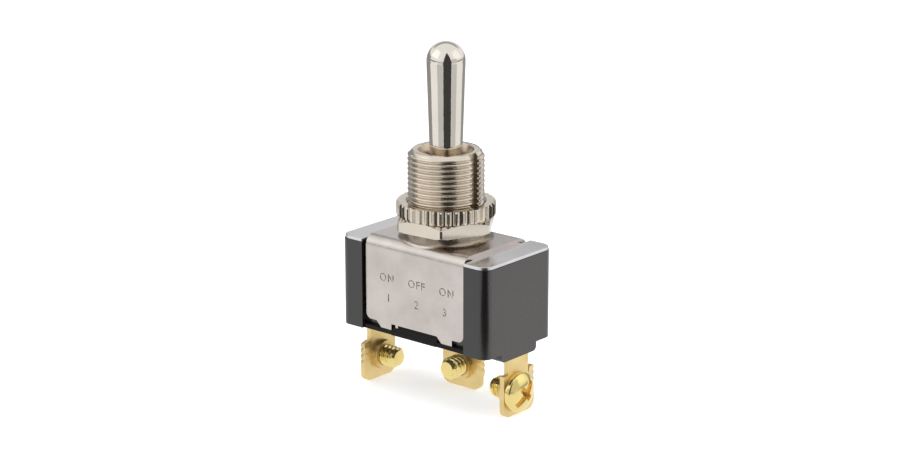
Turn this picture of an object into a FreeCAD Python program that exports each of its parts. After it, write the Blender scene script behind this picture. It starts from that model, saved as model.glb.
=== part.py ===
import FreeCAD, Part
import math
import os
import re
import Sketcher

# A three-position toggle switch with a threaded bushing, a folded mounting strap and three screw terminals.
# The origin is on the bushing's axis at the top face of the strap. +Z runs up the lever, +X along the row of
# terminals, and -Y is the side of the strap with the long plain face. All sizes are in millimetres.

SIZES = {
    # Folded sheet strap that holds the housing and carries the bushing.
    "strap_length": 19.7,
    "strap_width": 15.32,
    "strap_gauge": 0.6,
    "strap_bend": 1.7,
    "leg_drop": 13.5,
    "leg_corner": 1.0,
    "tab_drop": 0.97,
    "tab_foot": 2.08,
    "tab_slant": 0.95,
    "tab_pitch": 12.26,
    "tab_middle": 0.42,
    "collar_radius": 6.7,
    "collar_rise": 1.5,
    "collar_flare": 0.9,
    # Flat cover plate between the strap and the housing.
    "plate_gauge": 0.55,
    "plate_corner": 1.8,
    "plate_waist": 11.8,
    # Moulded housing.
    "housing_length": 29.28,
    "housing_width": 16.3,
    "housing_depth": 14.04,
    "housing_corner": 1.5,
    "recess_length": 20.5,
    "recess_gap": 0.06,
    "recess_bevel": 0.6,
    "ledge_width": 15.5,
    "ledge_gap": 0.05,
    "bar_inset": 0.1,
    "bar_width": 15.8,
    "bar_slope": 1.35,
    "skirt_width": 8.4,
    "skirt_drop": 1.36,
    "skirt_corner": 0.7,
    "cavity_width": 11.2,
    "cavity_corner": 0.8,
    "floor_gauge": 1.29,
    # Threaded bushing.
    "bushing_radius": 5.953,
    "bushing_rise": 13.9,
    "bushing_bevel": 0.75,
    "mouth_radius": 4.27,
    "throat_radius": 3.3,
    "spigot_radius": 5.1,
    "spigot_lip": 0.45,
    "spigot_bore": 4.5,
    "spigot_bore_rise": 3.0,
    "keyway_width": 1.73,
    "keyway_depth": 0.9,
    "bushing_fit": 0.02,
    # Nuts on the bushing.
    "hex_flats": 14.2,
    "hex_corner": 8.085,
    "hex_height": 2.1,
    "hex_face": 7.0,
    "hex_bevel": 0.63,
    "hex_foot_bevel": 0.19,
    "hex_turn": 4.5,
    "ring_radius": 7.75,
    "ring_height": 2.2,
    "ring_bevel": 0.25,
    "ring_flutes": 40,
    "flute_width": 0.8,
    "flute_depth": 0.3,
    "thread_fit": 0.02,
    # Lever and its pivot.
    "pivot_rise": 7.5,
    "ball_radius": 3.9,
    "ball_fit": 0.05,
    "neck_radius": 2.443,
    "tip_radius": 3.0,
    "tip_rise": 27.7,
    "shank_radius": 2.2,
    "shank_drop": 4.5,
    "spring_bore": 1.35,
    "spring_seat": 5.0,
    "pin_radius": 0.75,
    "pin_length": 9.0,
    "pin_fit": 0.02,
    "pin_slot_fit": 0.06,
    # Spring plunger.
    "plunger_fit": 0.05,
    "plunger_nose": 7.0,
    "plunger_shoulder": 2.0,
    "plunger_peg": 0.6,
    "plunger_peg_rise": 1.2,
    "spring_wire": 0.36,
    "spring_gap": 0.12,
    "spring_turns": 5,
    # Rocking contact arm and the saddle that carries it.
    "rocker_pivot_drop": 9.0,
    "rocker_width": 4.4,
    "rocker_reach": 10.0,
    "rocker_gauge": 0.9,
    "rocker_valley": 1.7,
    "rocker_peak": 2.6,
    "rocker_peak_reach": 2.9,
    "rocker_knee": 6.4,
    "rocker_arm_drop": 0.2,
    "trunnion_radius": 0.9,
    "trunnion_fit": 0.05,
    "trunnion_stub": 0.1,
    "saddle_length": 4.4,
    "saddle_gauge": 0.8,
    "saddle_gap": 0.2,
    "saddle_rim": 0.7,
    "contact_reach": 8.6,
    "contact_radius": 1.4,
    "contact_height": 0.6,
    "contact_gap": 1.45,
    "contact_bevel": 0.25,
    "contact_margin": 1.7,
    "stem_radius": 0.7,
    "stem_fit": 0.02,
    # Screw terminals.
    "blade_gauge": 0.85,
    "blade_foot": 25.98,
    "blade_shoulder": 19.2,
    "blade_corner": 1.4,
    "slot_fit": 0.05,
    "end_inset": 0.44,
    "end_neck_near": 2.1,
    "end_neck_far": 2.75,
    "end_near": 3.1,
    "end_far": 4.27,
    "end_ear": 2.2,
    "centre_face": 5.05,
    "centre_neck_near": 3.7,
    "centre_neck_far": 2.5,
    "centre_near": 4.2,
    "centre_far": 3.5,
    "centre_ear": 1.65,
    "centre_arm": 8.45,
    "centre_shift": 0.45,
    "ear_angle": 15,
    "ear_top": 19.1,
    "ear_foot": 23.3,
    "ear_slit": 0.2,
    "boss_radius": 2.4,
    "boss_height": 0.85,
    # Terminal screws.
    "screw_drop": 22.3,
    "screw_radius": 1.75,
    "screw_length": 4.4,
    "screw_tip": 0.6,
    "screw_face": 1.13,
    "head_radius": 3.15,
    "head_height": 2.0,
    "head_rim": 0.9,
    "head_shoulder": 2.3,
    "head_shoulder_rise": 1.55,
    "head_crown": 1.2,
}

# Heights and places that several pieces share, each worked out from the sizes.
STRAP_SOLE = "(0 - strap_gauge)"
PLATE_SOLE = f"({STRAP_SOLE} - plate_gauge)"
HOUSING_SOLE = f"({PLATE_SOLE} - housing_depth)"
FLOOR = f"({HOUSING_SOLE} + floor_gauge)"
ARM_TOP = f"({FLOOR} + blade_gauge)"
TAB_SOLE = "(0 - leg_drop - tab_drop)"
HEX_TOP = "(collar_rise + hex_height)"
RING_TOP = f"({HEX_TOP} + ring_height)"
NUT_BORE = "(bushing_radius + thread_fit)"
ROCKER_PIVOT = "(0 - rocker_pivot_drop)"
ROCKER_SOLE = f"({ROCKER_PIVOT} - rocker_arm_drop - rocker_gauge)"
FIXED_TOP = f"({ROCKER_SOLE} - contact_height - contact_gap)"
SCREW_BORE = "(screw_radius + thread_fit)"
END_FACE = "(housing_length / 2 - end_inset)"
END_ARM = f"({END_FACE} - contact_reach + contact_margin)"

PLANES = {"level": "XY_Plane", "front": "XZ_Plane", "side": "YZ_Plane"}

doc = FreeCAD.newDocument("toggle_switch")
sheet = doc.addObject("Spreadsheet::Sheet", "Sizes")


def fill_sheet():
    for row, (alias, number) in enumerate(SIZES.items(), start=1):
        sheet.set(f"A{row}", alias)
        sheet.set(f"B{row}", str(number))
        sheet.setAlias(f"B{row}", alias)
    doc.recompute()


def bound(formula):
    """Write a formula of size names as an expression that reads the sheet."""
    return re.sub(r"[a-z_]+", lambda word: f"Sizes.{word[0]}" if word[0] in SIZES else word[0], str(formula))


def amount(formula):
    return float(sheet.evalExpression(bound(formula)))


def new_body(label, place=None):
    body = doc.addObject("PartDesign::Body", label)
    body.Label = label
    if place:
        body.Placement = place
    return body


def turned(axis, degrees, spot=(0, 0, 0)):
    rotation = FreeCAD.Rotation(FreeCAD.Vector(*axis), degrees)
    return FreeCAD.Placement(FreeCAD.Vector(*[amount(number) for number in spot]), rotation)


def new_sketch(body, plane, name, offset=None):
    """Attach a sketch to one of the body's own planes, moved along its normal by the offset."""
    sketch = body.newObject("Sketcher::SketchObject", name)
    support = next(item for item in body.Origin.OriginFeatures if item.Role == PLANES[plane])
    sketch.AttachmentSupport = [(support, "")]
    sketch.MapMode = "FlatFace"
    if offset is not None:
        sketch.setExpression("AttachmentOffset.Base.z", bound(offset))
    return sketch


def constrain(sketch, kind, places, formula):
    index = sketch.addConstraint(Sketcher.Constraint(kind, *places, amount(formula)))
    sketch.setExpression(f"Constraints[{index}]", bound(formula))


def draw_outline(sketch, corners):
    """Draw a closed outline. A corner is (x, y), or (x, y, radius) where an arc leads to the next corner.

    A positive radius turns to the left along the outline, and a negative one to the right.
    """
    first = sketch.GeometryCount
    count = len(corners)
    spots = [(amount(corner[0]), amount(corner[1])) for corner in corners]
    ends = []
    for index, corner in enumerate(corners):
        start, finish = spots[index], spots[(index + 1) % count]
        if len(corner) == 2:
            sketch.addGeometry(Part.LineSegment(FreeCAD.Vector(*start, 0), FreeCAD.Vector(*finish, 0)), False)
            ends.append((1, 2))
            continue
        radius = amount(corner[2])
        centre = arc_centre(start, finish, radius)
        angles = [math.atan2(spot[1] - centre[1], spot[0] - centre[0]) for spot in (start, finish)]
        if radius < 0:
            angles.reverse()
        circle = Part.Circle(FreeCAD.Vector(*centre, 0), FreeCAD.Vector(0, 0, 1), abs(radius))
        sketch.addGeometry(Part.ArcOfCircle(circle, *angles), False)
        ends.append((2, 1) if radius < 0 else (1, 2))
    for index, corner in enumerate(corners):
        following = (index + 1) % count
        joint = (first + index, ends[index][1], first + following, ends[following][0])
        sketch.addConstraint(Sketcher.Constraint("Coincident", *joint))
        place = (-1, 1, first + index, ends[index][0])
        constrain(sketch, "DistanceX", place, corner[0])
        constrain(sketch, "DistanceY", place, corner[1])
        if len(corner) == 3:
            constrain(sketch, "Radius", (first + index,), f"abs({corner[2]})")


def arc_centre(start, finish, radius):
    half = math.dist(start, finish) / 2
    rise = math.sqrt(max(0.0, radius * radius - half * half)) * math.copysign(1, radius)
    along = ((finish[0] - start[0]) / half / 2, (finish[1] - start[1]) / half / 2)
    return ((start[0] + finish[0]) / 2 - along[1] * rise, (start[1] + finish[1]) / 2 + along[0] * rise)


def draw_circle(sketch, x, y, radius):
    centre = FreeCAD.Vector(amount(x), amount(y), 0)
    index = sketch.addGeometry(Part.Circle(centre, FreeCAD.Vector(0, 0, 1), amount(radius)), False)
    constrain(sketch, "DistanceX", (-1, 1, index, 3), x)
    constrain(sketch, "DistanceY", (-1, 1, index, 3), y)
    constrain(sketch, "Radius", (index,), radius)


def draw_box(sketch, low_x, low_y, high_x, high_y):
    draw_outline(sketch, [(low_x, low_y), (high_x, low_y), (high_x, high_y), (low_x, high_y)])


def draw_round_box(sketch, length, width, corner):
    """Draw a rectangle round the origin, with its corners rounded."""
    x, y = f"({length}) / 2", f"({width}) / 2"
    inner_x, inner_y = f"{x} - {corner}", f"{y} - {corner}"
    draw_outline(sketch, [
        (f"-({inner_x})", f"-({y})"), (inner_x, f"-({y})", corner),
        (x, f"-({inner_y})"), (x, inner_y, corner),
        (inner_x, y), (f"-({inner_x})", y, corner),
        (f"-({x})", inner_y), (f"-({x})", f"-({inner_y})", corner),
    ])


def pad(body, sketch, length, centred=False, backwards=False):
    feature = body.newObject("PartDesign::Pad", f"{sketch.Name}_pad")
    feature.Profile = sketch
    feature.setExpression("Length", bound(length))
    feature.Midplane = centred
    feature.Reversed = backwards
    doc.recompute()
    return feature


def pocket(body, sketch, length, centred=False, backwards=False):
    before = body.Shape.Volume
    feature = body.newObject("PartDesign::Pocket", f"{sketch.Name}_pocket")
    feature.Profile = sketch
    feature.setExpression("Length", bound(length))
    feature.Midplane = centred
    feature.Reversed = backwards
    doc.recompute()
    check_cut(body, feature, before)
    return feature


def revolve(body, sketch):
    feature = body.newObject("PartDesign::Revolution", f"{sketch.Name}_turned")
    feature.Profile = sketch
    feature.ReferenceAxis = (sketch, ["V_Axis"])
    feature.Angle = 360
    doc.recompute()
    return feature


def groove(body, sketch):
    before = body.Shape.Volume
    feature = body.newObject("PartDesign::Groove", f"{sketch.Name}_groove")
    feature.Profile = sketch
    feature.ReferenceAxis = (sketch, ["V_Axis"])
    feature.Angle = 360
    doc.recompute()
    check_cut(body, feature, before)
    return feature


def check_cut(body, feature, before):
    if body.Shape.Volume >= before - 1e-6:
        raise ValueError(f"{feature.Name} cuts nothing from {body.Label}")


def repeat_round(body, feature, axis, copies):
    """Repeat a feature evenly round an axis."""
    before = body.Shape.Volume
    pattern = body.newObject("PartDesign::PolarPattern", f"{feature.Name}_round")
    pattern.Originals = [feature]
    pattern.Axis = axis
    pattern.Angle = 360
    pattern.setExpression("Occurrences", bound(copies))
    body.Tip = pattern
    doc.recompute()
    check_cut(body, pattern, before)
    return pattern


def round_edges(body, kind, radius, chosen):
    """Fillet or chamfer the edges of the body that the test picks by their ends."""
    base = body.Tip
    names = [f"Edge{index}" for index, edge in enumerate(base.Shape.Edges, start=1) if chosen(edge)]
    if not names:
        raise ValueError(f"no edge of {body.Label} to finish")
    feature = body.newObject(f"PartDesign::{kind}", f"{body.Name}_{kind.lower()}")
    feature.Base = (base, names)
    feature.setExpression("Radius" if kind == "Fillet" else "Size", bound(radius))
    doc.recompute()
    return feature


def lies_along(edge, axis, **places):
    """Say whether a straight edge runs along an axis and passes through the given coordinates."""
    if edge.Curve.TypeId != "Part::GeomLine" or len(edge.Vertexes) < 2:
        return False
    start, finish = edge.Vertexes[0].Point, edge.Vertexes[-1].Point
    run = finish - start
    if abs(abs(getattr(run, axis)) - run.Length) > 1e-6:
        return False
    return all(abs(abs(getattr(start, name)) - abs(spot)) < 1e-4 for name, spot in places.items())


def make_bracket():
    body = new_body("mounting_bracket")
    outer, inner = "strap_width / 2", "(strap_width / 2 - strap_gauge)"
    flat = "(strap_width / 2 - strap_bend)"
    inner_bend = "(strap_bend - strap_gauge)"
    section = new_sketch(body, "side", "strap_section")
    draw_outline(section, [
        (outer, TAB_SOLE), (outer, "-strap_bend", "strap_bend"),
        (flat, 0), (f"-{flat}", 0, "strap_bend"),
        (f"-{outer}", "-strap_bend"), (f"-{outer}", TAB_SOLE),
        (f"-{inner}", TAB_SOLE), (f"-{inner}", "-strap_bend", f"-{inner_bend}"),
        (f"-{flat}", STRAP_SOLE), (flat, STRAP_SOLE, f"-{inner_bend}"),
        (inner, "-strap_bend"), (inner, TAB_SOLE),
    ])
    pad(body, section, "strap_length", centred=True)
    drawn = new_sketch(body, "level", "collar_blank", STRAP_SOLE)
    draw_circle(drawn, 0, 0, "collar_radius")
    pad(body, drawn, "collar_rise + strap_gauge")
    round_edges(body, "Fillet", "collar_flare", meets_collar_foot)
    bore = new_sketch(body, "front", "collar_bore")
    wall, rise = "(bushing_radius + bushing_fit)", "(collar_radius - bushing_radius - bushing_fit)"
    draw_outline(bore, [
        (0, f"2 * {STRAP_SOLE}"), (f"{wall} + {rise}", f"2 * {STRAP_SOLE}"),
        (f"{wall} + {rise}", STRAP_SOLE),
        (wall, f"{STRAP_SOLE} + {rise}"), (wall, "2 * collar_rise"), (0, "2 * collar_rise"),
    ])
    groove(body, bore)
    cut_leg_foot(body)
    round_edges(body, "Fillet", "leg_corner", lambda edge: lies_along(
        edge, "y", x=amount("strap_length / 2"), z=amount("leg_drop")))
    return body


def meets_collar_foot(edge):
    """Pick the edges where the collar's wall leaves the strap's top and its bends."""
    radius, rise = amount("collar_radius"), amount("collar_rise")
    box = edge.BoundBox
    spots = [edge.valueAt(edge.FirstParameter + share * (edge.LastParameter - edge.FirstParameter))
             for share in (0.0, 0.3, 0.7, 1.0)]
    on_wall = all(abs(math.hypot(spot.x, spot.y) - radius) < 1e-4 for spot in spots)
    return on_wall and box.ZLength < rise and amount(STRAP_SOLE) < box.ZMin + 1e-6 and box.ZMax < rise / 2


def cut_leg_foot(body):
    """Cut each leg back between its two tabs, the same on both legs half a turn apart."""
    foot = new_sketch(body, "front", "leg_foot")
    below = f"{TAB_SOLE} - leg_corner"
    beyond = "(strap_length / 2 + leg_corner)"
    left = "(tab_middle - tab_pitch / 2)"
    right = "(tab_middle + tab_pitch / 2)"
    edge = "-leg_drop"

    def slanted(tab):
        return f"({tab} - tab_foot / 2)", f"({tab} - tab_foot / 2 - tab_slant)"

    first_foot, first_top = slanted(left)
    second_foot, second_top = slanted(right)
    draw_outline(foot, [(f"-{beyond}", below), (first_foot, below), (first_foot, TAB_SOLE),
                        (first_top, edge), (f"-{beyond}", edge)])
    draw_outline(foot, [(f"{left} + tab_foot / 2", below), (second_foot, below), (second_foot, TAB_SOLE),
                        (second_top, edge), (f"{left} + tab_foot / 2", edge)])
    draw_box(foot, f"{right} + tab_foot / 2", below, beyond, edge)
    cut = pocket(body, foot, "strap_width", backwards=True)
    repeat_round(body, cut, (foot, ["V_Axis"]), 2)


def make_top_plate():
    body = new_body("top_plate")
    outline = new_sketch(body, "level", "plate_outline", PLATE_SOLE)
    draw_round_box(outline, "housing_length", "housing_width", "plate_corner")
    pad(body, outline, "plate_gauge")
    openings = new_sketch(body, "level", "plate_openings", STRAP_SOLE)
    half, edge = "recess_length / 2", "(plate_waist / 2)"
    draw_box(openings, f"-{half}", edge, half, "housing_width")
    draw_box(openings, f"-{half}", "-housing_width", half, f"-{edge}")
    draw_circle(openings, 0, 0, "spigot_radius + bushing_fit")
    pocket(body, openings, "2 * plate_gauge")
    return body


def make_housing():
    body = new_body("housing")
    outline = new_sketch(body, "level", "housing_outline", PLATE_SOLE)
    draw_round_box(outline, "housing_length", "housing_width", "housing_corner")
    pad(body, outline, "housing_depth", backwards=True)
    cut_strap_recess(body)
    add_skirt(body)
    add_snap_bars(body)
    cavity = new_sketch(body, "level", "cavity", PLATE_SOLE)
    slot_wall = f"({END_FACE} - blade_gauge - slot_fit)"
    draw_round_box(cavity, f"2 * {slot_wall}", "cavity_width", "cavity_corner")
    pocket(body, cavity, "housing_depth - floor_gauge")
    slots = new_sketch(body, "level", "terminal_slots", PLATE_SOLE)
    near, far = "(end_neck_near + slot_fit)", "(end_neck_far + slot_fit)"
    outer = f"({END_FACE} + slot_fit)"
    draw_box(slots, slot_wall, f"-{near}", outer, far)
    draw_box(slots, f"-{outer}", f"-{far}", f"-{slot_wall}", near)
    draw_box(slots, "-(centre_neck_near + slot_fit)", "centre_face - blade_gauge - slot_fit",
             "centre_neck_far + slot_fit", "centre_face + slot_fit")
    pocket(body, slots, "housing_depth + 2 * skirt_drop")
    return body


def cut_strap_recess(body):
    """Sink both long sides for the strap's legs, and leave a ledge below them."""
    recess = new_sketch(body, "side", "strap_recess")
    wall = "(strap_width / 2 - strap_gauge - recess_gap)"
    ledge = f"({TAB_SOLE} - ledge_gap)"
    for side in ("", "-"):
        corners = [
            ("housing_width", 0), ("housing_width", f"{HOUSING_SOLE} - skirt_drop"),
            ("ledge_width / 2", f"{HOUSING_SOLE} - skirt_drop"), ("ledge_width / 2", ledge),
            (wall, ledge), (wall, f"{PLATE_SOLE} - recess_bevel"),
            (f"{wall} - recess_bevel", PLATE_SOLE), (f"{wall} - recess_bevel", 0),
        ]
        draw_outline(recess, [(f"{side}({across})", up) for across, up in corners])
    pocket(body, recess, "recess_length", centred=True)


def add_skirt(body):
    """Add the narrower block below the floor that the terminals leave through."""
    skirt = new_sketch(body, "side", "skirt")
    half, sole = "(skirt_width / 2)", f"({HOUSING_SOLE} - skirt_drop)"
    inner, upper = f"({half} - skirt_corner)", f"({sole} + skirt_corner)"
    draw_outline(skirt, [
        (f"-{inner}", sole), (inner, sole, "skirt_corner"), (half, upper), (half, FLOOR),
        (f"-{half}", FLOOR), (f"-{half}", upper, "skirt_corner"),
    ])
    pad(body, skirt, "housing_length", centred=True)


def add_snap_bars(body):
    """Add the sloped bar that stands in the window between each leg's tabs."""
    bars = new_sketch(body, "side", "snap_bars")
    wall = "(strap_width / 2 - strap_gauge - recess_gap)"
    for side in ("", "-"):
        corners = [
            (f"{wall} - recess_bevel", "-leg_drop - ledge_gap"), (wall, "-leg_drop - ledge_gap"),
            ("bar_width / 2", "-leg_drop - ledge_gap - bar_slope"), ("bar_width / 2", HOUSING_SOLE),
            (f"{wall} - recess_bevel", HOUSING_SOLE),
        ]
        draw_outline(bars, [(f"{side}({across})", up) for across, up in corners])
    window = "(tab_pitch - tab_foot - tab_slant)"
    pad(body, bars, f"{window} - 2 * bar_inset", centred=True)


def make_bushing():
    """Turn the bushing. The lever's ball bears on a cone below its throat."""
    body = new_body("bushing")
    profile = new_sketch(body, "front", "bushing_profile")
    seat = "(ball_radius + ball_fit)"
    seat_rise = f"sqrt({seat} ^ 2 - throat_radius ^ 2)"
    spigot_sole = f"({PLATE_SOLE} - spigot_lip)"
    bevel_radius = "(bushing_radius - bushing_bevel)"
    draw_outline(profile, [
        ("spigot_bore", spigot_sole), ("spigot_radius", spigot_sole),
        ("spigot_radius", STRAP_SOLE), ("bushing_radius", STRAP_SOLE),
        ("bushing_radius", "bushing_rise - bushing_bevel"), (bevel_radius, "bushing_rise"),
        ("mouth_radius", "bushing_rise"),
        ("throat_radius", f"pivot_rise + {seat_rise}"),
        (seat, f"pivot_rise + {seat} * ({seat} - throat_radius) / {seat_rise}"),
        (seat, "spigot_bore_rise"), ("spigot_bore", "spigot_bore_rise"),
    ])
    revolve(body, profile)
    keyway = new_sketch(body, "level", "keyway", "bushing_rise")
    half = "keyway_width / 2"
    draw_box(keyway, "bushing_radius - keyway_depth", f"-{half}", "bushing_radius * 2", half)
    pocket(body, keyway, "bushing_rise - collar_rise")
    slot = new_sketch(body, "level", "pin_slot", "pivot_rise + pin_radius + pin_slot_fit")
    reach = "(pin_length / 2 + pin_slot_fit)"
    side = "(pin_radius + pin_slot_fit)"
    draw_box(slot, f"-{side}", f"-{reach}", side, reach)
    pocket(body, slot, "2 * pivot_rise + shank_drop")
    return body


def make_hex_nut():
    body = new_body("hex_nut", turned((0, 0, 1), amount("hex_turn")))
    outline = new_sketch(body, "level", "hex_outline", "collar_rise")
    corners = [(f"hex_flats / sqrt(3) * cos({turn})", f"hex_flats / sqrt(3) * sin({turn})")
               for turn in range(0, 360, 60)]
    draw_outline(outline, corners)
    draw_circle(outline, 0, 0, NUT_BORE)
    pad(body, outline, "hex_height")
    bevels = new_sketch(body, "front", "hex_bevels")
    beyond = "(hex_corner + hex_height)"
    draw_outline(bevels, [
        ("hex_face", HEX_TOP), ("hex_corner", f"{HEX_TOP} - hex_bevel"),
        ("hex_corner", "collar_rise + hex_foot_bevel"), ("hex_corner - 2 * hex_foot_bevel", "collar_rise"),
        ("hex_corner - 2 * hex_foot_bevel", "0"), (beyond, "0"), (beyond, f"2 * {HEX_TOP}"),
        ("hex_face", f"2 * {HEX_TOP}"),
    ])
    groove(body, bevels)
    return body


def make_knurled_nut():
    body = new_body("knurled_nut")
    profile = new_sketch(body, "front", "ring_profile")
    draw_outline(profile, [
        (NUT_BORE, HEX_TOP), ("ring_radius - ring_bevel", HEX_TOP), ("ring_radius", f"{HEX_TOP} + ring_bevel"),
        ("ring_radius", f"{RING_TOP} - ring_bevel"), ("ring_radius - ring_bevel", RING_TOP),
        (NUT_BORE, RING_TOP),
    ])
    revolve(body, profile)
    flute = new_sketch(body, "level", "flute", RING_TOP)
    draw_outline(flute, [
        ("ring_radius - flute_depth", 0), ("ring_radius + flute_depth", "-flute_width"),
        ("ring_radius + flute_depth", "flute_width"),
    ])
    cut = pocket(body, flute, "ring_height")
    repeat_round(body, cut, (flute, ["N_Axis"]), "ring_flutes")
    return body


def make_lever():
    body = new_body("lever")
    profile = new_sketch(body, "front", "lever_profile")
    draw_outline(profile, [
        ("spring_bore", "-shank_drop"), ("shank_radius", "-shank_drop"),
        ("shank_radius", "pivot_rise - sqrt(ball_radius ^ 2 - shank_radius ^ 2)", "ball_radius"),
        ("neck_radius", "pivot_rise + sqrt(ball_radius ^ 2 - neck_radius ^ 2)"),
        ("tip_radius", "tip_rise", "tip_radius"), (0, "tip_rise + tip_radius"),
        (0, "spring_seat"), ("spring_bore", "spring_seat"),
    ])
    revolve(body, profile)
    hole = new_sketch(body, "front", "pin_hole")
    draw_circle(hole, 0, "pivot_rise", "pin_radius + pin_fit")
    pocket(body, hole, "3 * ball_radius", centred=True)
    return body


def make_lever_pin():
    body = new_body("lever_pin", turned((1, 0, 0), 90, (0, 0, "pivot_rise")))
    section = new_sketch(body, "level", "pin_section")
    draw_circle(section, 0, 0, "pin_radius")
    pad(body, section, "pin_length", centred=True)
    return body


def make_plunger():
    body = new_body("plunger")
    profile = new_sketch(body, "front", "plunger_profile")
    radius = "(spring_bore - plunger_fit)"
    draw_outline(profile, [
        (0, "-plunger_nose", radius), (radius, f"{radius} - plunger_nose"), (radius, "-plunger_shoulder"),
        ("plunger_peg", "-plunger_shoulder"), ("plunger_peg", "plunger_peg_rise - plunger_shoulder"),
        (0, "plunger_peg_rise - plunger_shoulder"),
    ])
    revolve(body, profile)
    return body


def make_plunger_spring():
    """Wind the spring that stands on the plunger's shoulder and pushes against the end of the lever's bore."""
    body = new_body("plunger_spring")
    wire = new_sketch(body, "front", "spring_wire")
    outer = "(spring_bore - spring_gap)"
    draw_box(wire, f"{outer} - spring_wire", "-plunger_shoulder", outer, "spring_wire - plunger_shoulder")
    coil = body.newObject("PartDesign::AdditiveHelix", "spring_coil")
    coil.Profile = wire
    coil.ReferenceAxis = (wire, ["V_Axis"])
    coil.Mode = "height-turns-angle"
    coil.setExpression("Height", bound("spring_seat + plunger_shoulder - spring_wire"))
    coil.setExpression("Turns", bound("spring_turns"))
    doc.recompute()
    return body


def make_rocker():
    body = new_body("rocker_contact")
    profile = new_sketch(body, "front", "rocker_profile")

    def above(rise):
        return f"{ROCKER_PIVOT} + ({rise})"

    arm_top = above("-rocker_arm_drop")
    valley, peak = above("rocker_valley"), above("rocker_peak")
    hub = "trunnion_radius"
    right = [
        ("rocker_reach", ROCKER_SOLE), ("rocker_reach", arm_top), ("rocker_knee", arm_top),
        ("rocker_peak_reach", peak), (0, valley),
    ]
    left = [(f"-{across}", up) for across, up in reversed(right[:-1])]
    below_left = [("-rocker_knee", ROCKER_SOLE), ("-rocker_peak_reach", f"{peak} - rocker_gauge"),
                  (f"-{hub}", f"{valley} - rocker_gauge"), (f"-{hub}", ROCKER_PIVOT)]
    below_right = [(across[1:], up) for across, up in reversed(below_left)]
    draw_outline(profile, right + left + below_left + below_right)
    pad(body, profile, "rocker_width", centred=True)
    trunnion = new_sketch(body, "front", "trunnion")
    draw_circle(trunnion, 0, ROCKER_PIVOT, hub)
    cheek = "(rocker_width + 2 * saddle_gap + 2 * saddle_gauge)"
    pad(body, trunnion, f"{cheek} + 2 * trunnion_stub", centred=True)
    holes = new_sketch(body, "level", "rocker_holes", ROCKER_PIVOT)
    draw_circle(holes, "contact_reach", 0, "stem_radius + stem_fit")
    draw_circle(holes, "-contact_reach", 0, "stem_radius + stem_fit")
    pocket(body, holes, "2 * rocker_gauge")
    return body


def make_moving_contact(label, side):
    """Rivet a contact button under one end of the rocking arm."""
    body = new_body(label, turned((0, 0, 1), 0, (f"{side} * contact_reach", 0, ROCKER_SOLE)))
    profile = new_sketch(body, "front", f"{label}_profile")
    draw_outline(profile, [
        (0, "-contact_height"), ("contact_radius - contact_bevel", "-contact_height"),
        ("contact_radius", "contact_bevel - contact_height"), ("contact_radius", 0),
        ("stem_radius", 0), ("stem_radius", "rocker_gauge"), (0, "rocker_gauge"),
    ])
    revolve(body, profile)
    return body


def make_fixed_contact(label, side):
    """Rivet a contact button to the arm of one end terminal."""
    body = new_body(label, turned((0, 0, 1), 0, (f"{side} * contact_reach", 0, ARM_TOP)))
    profile = new_sketch(body, "front", f"{label}_profile")
    top = f"({FIXED_TOP} - {ARM_TOP})"
    draw_outline(profile, [
        (0, "-blade_gauge"), ("stem_radius", "-blade_gauge"), ("stem_radius", 0), ("contact_radius", 0),
        ("contact_radius", f"{top} - contact_bevel"), ("contact_radius - contact_bevel", top), (0, top),
    ])
    revolve(body, profile)
    return body


def make_saddle():
    """Fold the saddle that stands on the centre terminal and carries the rocking arm's trunnions."""
    body = new_body("rocker_saddle")
    section = new_sketch(body, "side", "saddle_section")
    inner = "(rocker_width / 2 + saddle_gap)"
    outer = f"({inner} + saddle_gauge)"
    rim = f"({ROCKER_PIVOT} + saddle_rim)"
    draw_outline(section, [
        (f"-{outer}", ARM_TOP), (outer, ARM_TOP), (outer, rim), (inner, rim),
        (inner, f"{ARM_TOP} + saddle_gauge"), (f"-{inner}", f"{ARM_TOP} + saddle_gauge"),
        (f"-{inner}", rim), (f"-{outer}", rim),
    ])
    pad(body, section, "saddle_length", centred=True)
    notch = new_sketch(body, "front", "saddle_notch")
    radius = "(trunnion_radius + trunnion_fit)"
    draw_outline(notch, [
        (f"-{radius}", ROCKER_PIVOT, radius), (0, f"{ROCKER_PIVOT} - {radius}", radius), (radius, ROCKER_PIVOT),
        (radius, f"{rim} + saddle_rim"), (f"-{radius}", f"{rim} + saddle_rim"),
    ])
    pocket(body, notch, f"4 * {outer}", centred=True)
    return body


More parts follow.
